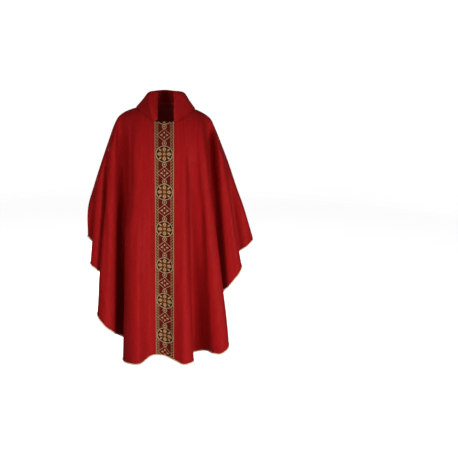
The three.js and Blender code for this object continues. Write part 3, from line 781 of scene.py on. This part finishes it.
class Growth(Nodes):
    """Writes a tree that grows something along a path, with a named input for each size."""

    def __init__(self, name, *sizes):
        self.tree = bpy.data.node_groups.new(name, "GeometryNodeTree")
        ports = self.tree.interface
        ports.new_socket("Path", in_out="INPUT", socket_type="NodeSocketGeometry")
        for size in sizes:
            ports.new_socket(size, in_out="INPUT", socket_type="NodeSocketFloat")
        ports.new_socket("Grown", in_out="OUTPUT", socket_type="NodeSocketGeometry")
        self.given = self.put("NodeGroupInput")

    def put(self, kind, inputs={}, **settings):
        """Adds a node, feeds its inputs by name and returns its outputs."""
        node = self.add(kind, **settings)
        for name, value in inputs.items():
            self.feed(node.inputs[name], value)
        return node.outputs

    def close(self, geometry, material):
        smooth = self.put("GeometryNodeSetShadeSmooth", {"Geometry": geometry})[0]
        real = self.put("GeometryNodeRealizeInstances", {"Geometry": smooth})[0]
        done = self.put("GeometryNodeSetMaterial", {"Geometry": real, "Material": material})[0]
        self.put("NodeGroupOutput", {"Grown": done})
        return self.tree


def grown(name, path, tree, **sizes):
    """The plain mesh that a node tree grows along a path of points."""
    mesh = bpy.data.meshes.new(name)
    mesh.from_pydata(path.tolist(), [(i, i + 1) for i in range(len(path) - 1)], [])
    piece = bpy.data.objects.new(name, mesh)
    bpy.context.collection.objects.link(piece)
    growth = piece.modifiers.new("growth", "NODES")
    growth.node_group = tree
    for item in tree.interface.items_tree:
        key = item.name.lower().replace(" ", "_")
        if item.in_out == "INPUT" and key in sizes:
            growth[item.identifier] = sizes[key]
    seen = piece.evaluated_get(bpy.context.evaluated_depsgraph_get())
    final = bpy.data.meshes.new_from_object(seen)
    piece.modifiers.clear()
    piece.data = final
    return piece


def thread_material(name, colour):
    n = Nodes(name)
    fleck = n.noise(n.add("ShaderNodeTexCoord").outputs["Object"], 1500.0)
    dark = tuple(0.7 * value for value in colour[:3]) + (1,)
    return n.finish(n.mix(fleck, dark, colour), 0.5, fleck, 0.0001, Specular_IOR_Level=0.3)


def stitch_tree(name, material):
    """Stitches in a row along a path, each drawn down into the cloth at its ends."""
    g = Growth(name, "Pitch", "Length", "Thickness")
    curve = g.put("GeometryNodeMeshToCurve", {"Mesh": g.given["Path"]})[0]
    spacing = {"Curve": curve, "Length": g.given["Pitch"]}
    spots = g.put("GeometryNodeCurveToPoints", spacing, mode="LENGTH")
    ball = g.put("GeometryNodeMeshUVSphere", {"Segments": 6, "Rings": 4, "Radius": 0.5})[0]
    stretch = g.join(g.given["Thickness"], g.given["Thickness"], g.given["Length"])
    places = {"Points": spots["Points"], "Rotation": spots["Rotation"]}
    placed = g.put("GeometryNodeInstanceOnPoints", {**places, "Instance": ball, "Scale": stretch})
    return g.close(placed[0], material)


stitch_sizes = dict(pitch=0.0038, length=0.0031, thickness=0.0007)
gold_stitches = stitch_tree("gold_stitches", thread_material("gold_stitch_thread", dull_gold))
galloon_back = plain_cloth("galloon_back", brown_ground)

for panel in (front, back):
    edges = (-band_half_width, band_half_width)
    left_edge, right_edge = (int(np.argmin(np.abs(panel.folds.start - edge))) for edge in edges)
    places = np.linspace(left_edge, right_edge, band_columns + 1)
    start, bare = panel_grid(panel, places, rounded_rows * 3, hanging_rows * 3)
    points = settled(panel, bare)
    normals = grid_normals(points, panel.facing)
    steps = np.linalg.norm(np.diff(points, axis=0), axis=2)[:, band_columns // 2]
    down = np.append(0, np.cumsum(steps))
    share = start / band_half_width
    flat = np.stack(np.broadcast_arrays(band_half_width * share[None, :], down[:, None]), axis=-1)
    from_edge = band_half_width * (1 - np.abs(share))
    rise = band_edge_rise * (1 - window(from_edge, band_edge_width * 0.8, band_edge_width * 1.2))
    raised = points + normals * rise[None, :, None]
    piece = cloth_wall(
        f"{panel.name}_orphrey_band", raised, normals, seam_gap, seam_gap + band_thickness, panel.facing,
        flat, strips=4, side_lip=band_lip, foot_lip=band_lip,
    )
    piece.data.materials.append(galloon(f"{panel.name}_galloon", first_roundel[panel.name]))
    piece.data.materials.append(galloon_back)
    surface = raised + normals * (seam_gap + band_thickness)
    for hand, line in (("left", surface[:, 1]), ("right", surface[:, -2])):
        row = grown(f"{panel.name}_orphrey_{hand}_stitches", line, gold_stitches, **stitch_sizes)
        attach(row, "root")
    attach(piece, "root")
    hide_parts(f"{panel.name}_orphrey")


# ----------------------------------------
# Collar. Doubled damask, sewn round the neckline and turned down over a soft roll. It is open
# at the front, falls to a V on the back and rests on the shoulders.
# ----------------------------------------

collar_thickness = 0.0024
collar_seam_rise = 0.0015
nape = 0.360  # neckline distance of the middle of the back
roll_fall = 0.004
collar_steps = 12  # columns between two stations
collar_lips = dict(top_lip=0.0012, foot_lip=0.0011, side_lip=0.0011)
collar_red = (0.35, 0.0085, 0.0095, 1)
collar_figure_red = (0.32, 0.0075, 0.0085, 1)
collar_rows = 64

# From the left of the slot round the nape to the right of the slot: neckline distance of the
# seam from its left end, the inner line of the roll, its crest, and the outer edge.
stations = table(
    "turn seam x y z crest_x crest_y edge_x edge_y edge_z",
    (0, 0.052, -0.042, -0.114, -0.088, -0.057, -0.119, -0.066, -0.117, -0.091),
    (1, 0.085, -0.042, -0.103, -0.056, -0.070, -0.121, -0.086, -0.104, -0.079),
    (2, 0.115, -0.042, -0.084, -0.020, -0.080, -0.115, -0.108, -0.081, -0.063),
    (3, 0.145, -0.042, -0.063, 0.016, -0.085, -0.099, -0.131, -0.059, -0.048),
    (4, 0.170, -0.042, -0.042, 0.053, -0.087, -0.064, -0.153, -0.028, -0.033),
    (5, 0.190, -0.070, -0.014, 0.054, -0.089, -0.012, -0.157, 0.004, -0.027),
    (6, 0.235, -0.066, 0.030, 0.057, -0.077, 0.034, -0.130, 0.046, -0.032),
    (7, 0.300, -0.038, 0.058, 0.062, -0.044, 0.068, -0.068, 0.105, -0.070),
    (8, 0.360, 0, 0.068, 0.065, 0, 0.078, 0, 0.121, -0.106),
    (9, 0.420, 0.038, 0.058, 0.062, 0.044, 0.068, 0.068, 0.105, -0.070),
    (10, 0.485, 0.068, 0.030, 0.059, 0.082, 0.034, 0.130, 0.046, -0.032),
    (11, 0.530, 0.076, -0.014, 0.057, 0.099, -0.010, 0.157, 0.004, -0.027),
    (12, 0.550, 0.042, -0.062, 0.056, 0.080, -0.058, 0.153, -0.028, -0.033),
    (13, 0.575, 0.042, -0.088, 0.018, 0.073, -0.078, 0.131, -0.059, -0.048),
    (14, 0.605, 0.042, -0.103, -0.020, 0.065, -0.096, 0.108, -0.081, -0.063),
    (15, 0.635, 0.042, -0.113, -0.056, 0.059, -0.110, 0.086, -0.104, -0.079),
    (16, 0.668, 0.042, -0.116, -0.088, 0.054, -0.117, 0.066, -0.117, -0.091),
)
turns = np.linspace(0, stations.turn[-1], int(stations.turn[-1]) * collar_steps + 1)


def at_turns(*columns):
    return np.column_stack([along(stations.turn, column, turns) for column in columns])


round_neck = at_turns(stations.seam)[:, 0]  # from the left front, past the nape, to the right
front_left = top_edge(front, -np.minimum(round_neck, neck_side))
front_right = top_edge(front, np.minimum(2 * nape - round_neck, neck_side))
on_back = top_edge(back, np.clip(round_neck - nape, -neck_side, neck_side))
on_left = (turns < stations.turn[-1] / 2)[:, None]
behind = ((round_neck > neck_side) & (round_neck < 2 * nape - neck_side))[:, None]
seam = np.where(behind, on_back, np.where(on_left, front_left, front_right))
seam[:, 2] += collar_seam_rise
roll_in = at_turns(stations.x, stations.y, stations.z)
edge = at_turns(stations.edge_x, stations.edge_y, stations.edge_z)
roll_out = np.column_stack([at_turns(stations.crest_x, stations.crest_y), roll_in[:, 2] - roll_fall])
stand = (seam + roll_in) / 2
fall = (roll_out + edge) / 2
sections = [np.array(section) for section in zip(seam, stand, roll_in, roll_out, fall, edge)]
shares = np.linspace(0, 5, collar_rows + 1)
collar_points = np.stack([spline(section, shares) for section in sections], axis=1)
collar_normals = grid_normals(collar_points, 1)

collar_damask = damask("collar_damask", collar_red, collar_figure_red)
collar = cloth_wall(
    "collar_cloth", collar_points, collar_normals, -collar_thickness, 0, 1,
    laid_flat(collar_points, len(turns) // 2), **collar_lips,
)
collar.data.materials.append(collar_damask)
collar.data.materials.append(panel_wrong_side)


def inside_edge(points, inset):
    """The line on a grid of cloth that runs a little above its last row."""
    back_up = points[::-1]
    climbed = np.cumsum(np.linalg.norm(np.diff(back_up, axis=0), axis=2), axis=0)
    climbed = np.vstack([np.zeros(points.shape[1]), climbed])
    return np.array([
        [np.interp(inset, climbed[:, i], back_up[:, i, axis]) for axis in range(3)]
        for i in range(points.shape[1])
    ])


collar_stitch_inset = 0.006
red_thread = (0.20, 0.006, 0.008, 1)
red_stitches = stitch_tree("red_stitches", thread_material("red_stitch_thread", red_thread))
collar_line = inside_edge(collar_points, collar_stitch_inset)[2:-2]
collar_row = grown("collar_stitches", collar_line, red_stitches, **stitch_sizes)
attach(collar_row, "root")
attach(collar, "root")
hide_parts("collar")


# ----------------------------------------
# Edge cords. Three strands of gold thread twisted together and sewn along the hem of each
# panel, from the end of one sleeve to the end of the other.
# ----------------------------------------

cord_radius = 0.0038
cord_gap = 0.0003
strands = 3
strand_sides = 6
strand_radius = 0.0021
strand_offset = 0.0019
twist_pitch = 0.012
cord_spacing = 0.0014

gold_thread = (1.0, 0.86, 0.66, 1)
shaded_thread = (0.96, 0.72, 0.48, 1)


def cord_material():
    n = Nodes("gold_cord")
    place = n.add("ShaderNodeTexCoord").outputs["Object"]
    fleck = n.noise(place, 900.0, 2.0)
    colour = n.mix(fleck, gold_thread, shaded_thread)
    return n.finish(colour, 0.42, fleck, 0.0002, metal=0.15, Specular_IOR_Level=0.5)


def twisted_cord_tree(material):
    """Strands that wind round a path, as long as it is."""
    g = Growth("twisted_cord", "Spacing", "Pitch", "Offset", "Strand Radius")
    curve = g.put("GeometryNodeMeshToCurve", {"Mesh": g.given["Path"]})[0]
    spacing = {"Curve": curve, "Length": g.given["Spacing"]}
    even = g.put("GeometryNodeResampleCurve", spacing, mode="LENGTH")[0]
    reach = g.put("GeometryNodeSplineParameter")["Length"]
    angle = g.math("MULTIPLY", g.math("DIVIDE", reach, g.given["Pitch"]), 2 * math.pi)
    tangent = g.put("GeometryNodeInputTangent")[0]
    normal = g.put("GeometryNodeInputNormal")[0]
    thread = {"Resolution": strand_sides, "Radius": g.given["Strand Radius"]}
    profile = g.put("GeometryNodeCurvePrimitiveCircle", thread)[0]
    joined = g.add("GeometryNodeJoinGeometry")
    for strand in range(strands):
        turned = {
            "Vector": normal,
            "Axis": tangent,
            "Angle": g.math("ADD", angle, 2 * math.pi * strand / strands),
        }
        spin = g.put("ShaderNodeVectorRotate", turned, rotation_type="AXIS_ANGLE")[0]
        reached = {"Vector": spin, "Scale": g.given["Offset"]}
        away = g.put("ShaderNodeVectorMath", reached, operation="SCALE")[0]
        moved = g.put("GeometryNodeSetPosition", {"Geometry": even, "Offset": away})[0]
        swept = {"Curve": moved, "Profile Curve": profile, "Fill Caps": True}
        g.feed(joined.inputs[0], g.put("GeometryNodeCurveToMesh", swept)[0])
    return g.close(joined.outputs[0], material)


hem_stitch_inset = 0.005
cord_tree = twisted_cord_tree(cord_material())
for panel in (front, back):
    hem, out = panel.points[-1], panel.normals[-1]
    line = inside_edge(panel.points, hem_stitch_inset)[1:-1]
    row = grown(f"{panel.name}_hem_stitches", line, red_stitches, **stitch_sizes)
    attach(row, "root")
    tangent = unit(np.gradient(hem, axis=0))
    down = unit(np.cross(out, tangent)) * panel.facing
    path = hem - out * cloth_thickness / 2 + down * (cord_gap + cord_radius)
    piece = grown(
        f"{panel.name}_hem_cord", path, cord_tree,
        spacing=cord_spacing, pitch=twist_pitch, offset=strand_offset, strand_radius=strand_radius,
    )
    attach(piece, "root")
    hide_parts(f"{panel.name}_edge_cord")


# ----------------------------------------
# Studio. A plain pale floor that curves up into a round wall, large soft lights at the front,
# above and behind the garment, and the camera.
# ----------------------------------------

floor_height = -1.60
floor_radius = 6.0
wall_bend = 1.2
wall_height = 6.0

bend = [math.radians(angle) for angle in range(0, 91, 10)]
profile = [(floor_radius + wall_bend * math.sin(a), wall_bend * (1 - math.cos(a))) for a in bend]
profile.append((floor_radius + wall_bend, wall_height))
round_wall = [math.radians(angle) for angle in range(0, 360, 5)]
vertices = [
    (r * math.cos(a), r * math.sin(a), floor_height + z) for r, z in profile for a in round_wall
]
count = len(round_wall)
faces = [tuple(range(count))]
for i in range(len(profile) - 1):
    for j in range(count):
        k = (j + 1) % count
        faces.append((i * count + k, i * count + j, (i + 1) * count + j, (i + 1) * count + k))
sweep = bpy.data.meshes.new("studio_sweep")
sweep.from_pydata(vertices, [], faces)
studio = bpy.data.objects.new("studio_sweep", sweep)
bpy.context.collection.objects.link(studio)
paper = Nodes("studio_paper")
studio.visible_diffuse = False
studio.visible_glossy = False
studio.visible_shadow = False
paper_white = (0.9, 0.9, 0.9, 1)
glow = dict(Emission_Color=(1, 1, 1, 1), Emission_Strength=0.9)
studio.data.materials.append(paper.finish(paper_white, 0.9, Specular_IOR_Level=0.0, **glow))

air_strength = 0.065
world = bpy.data.worlds.new("studio_air")
bpy.context.scene.world = world
world.use_nodes = True
air = world.node_tree.nodes["Background"]
air.inputs["Color"].default_value = (1, 1, 1, 1)
air.inputs["Strength"].default_value = air_strength


def soft_light(name, place, aim, size, power):
    light = bpy.data.lights.new(name, "AREA")
    light.shape = "SQUARE"
    light.size = size
    light.energy = power
    lamp = bpy.data.objects.new(name, light)
    bpy.context.collection.objects.link(lamp)
    lamp.visible_camera = False
    lamp.visible_glossy = name == "key_light"
    lamp.location = place
    lamp.rotation_euler = (Vector(aim) - Vector(place)).to_track_quat("-Z", "Y").to_euler()


soft_light("key_light", (1.5, -2.6, -1.3), (0, -0.1, -0.8), 1.2, 59)
soft_light("fill_light", (-1.6, -2.6, -0.1), (0, -0.1, -0.6), 1.2, 31)
soft_light("top_light", (0.15, -1.6, 2.2), (0, 0, -0.1), 0.6, 6)
soft_light("back_key_light", (-1.7, 2.8, -0.9), (0, 0.1, -0.8), 1.2, 76)
soft_light("back_fill_light", (1.5, 3.0, 0.2), (0, 0.1, -0.6), 1.2, 17)

camera_place = Vector((0, -3.2, 0.05))
camera_tilt = math.radians(13.2)
camera_pan = math.radians(6.46)
camera_roll = math.radians(1.49)
camera_lens = 45.12
level = math.cos(camera_tilt)
aim = Vector((math.sin(camera_pan) * level, math.cos(camera_pan) * level, -math.sin(camera_tilt)))
camera = bpy.data.objects.new("camera", bpy.data.cameras.new("camera"))
bpy.context.collection.objects.link(camera)
camera.data.lens = camera_lens
camera.location = camera_place
camera.rotation_mode = "QUATERNION"
camera.rotation_quaternion = aim.to_track_quat("-Z", "Y") @ Quaternion((0, 0, 1), camera_roll)
bpy.context.scene.camera = camera
bpy.context.scene.view_settings.view_transform = "Standard"
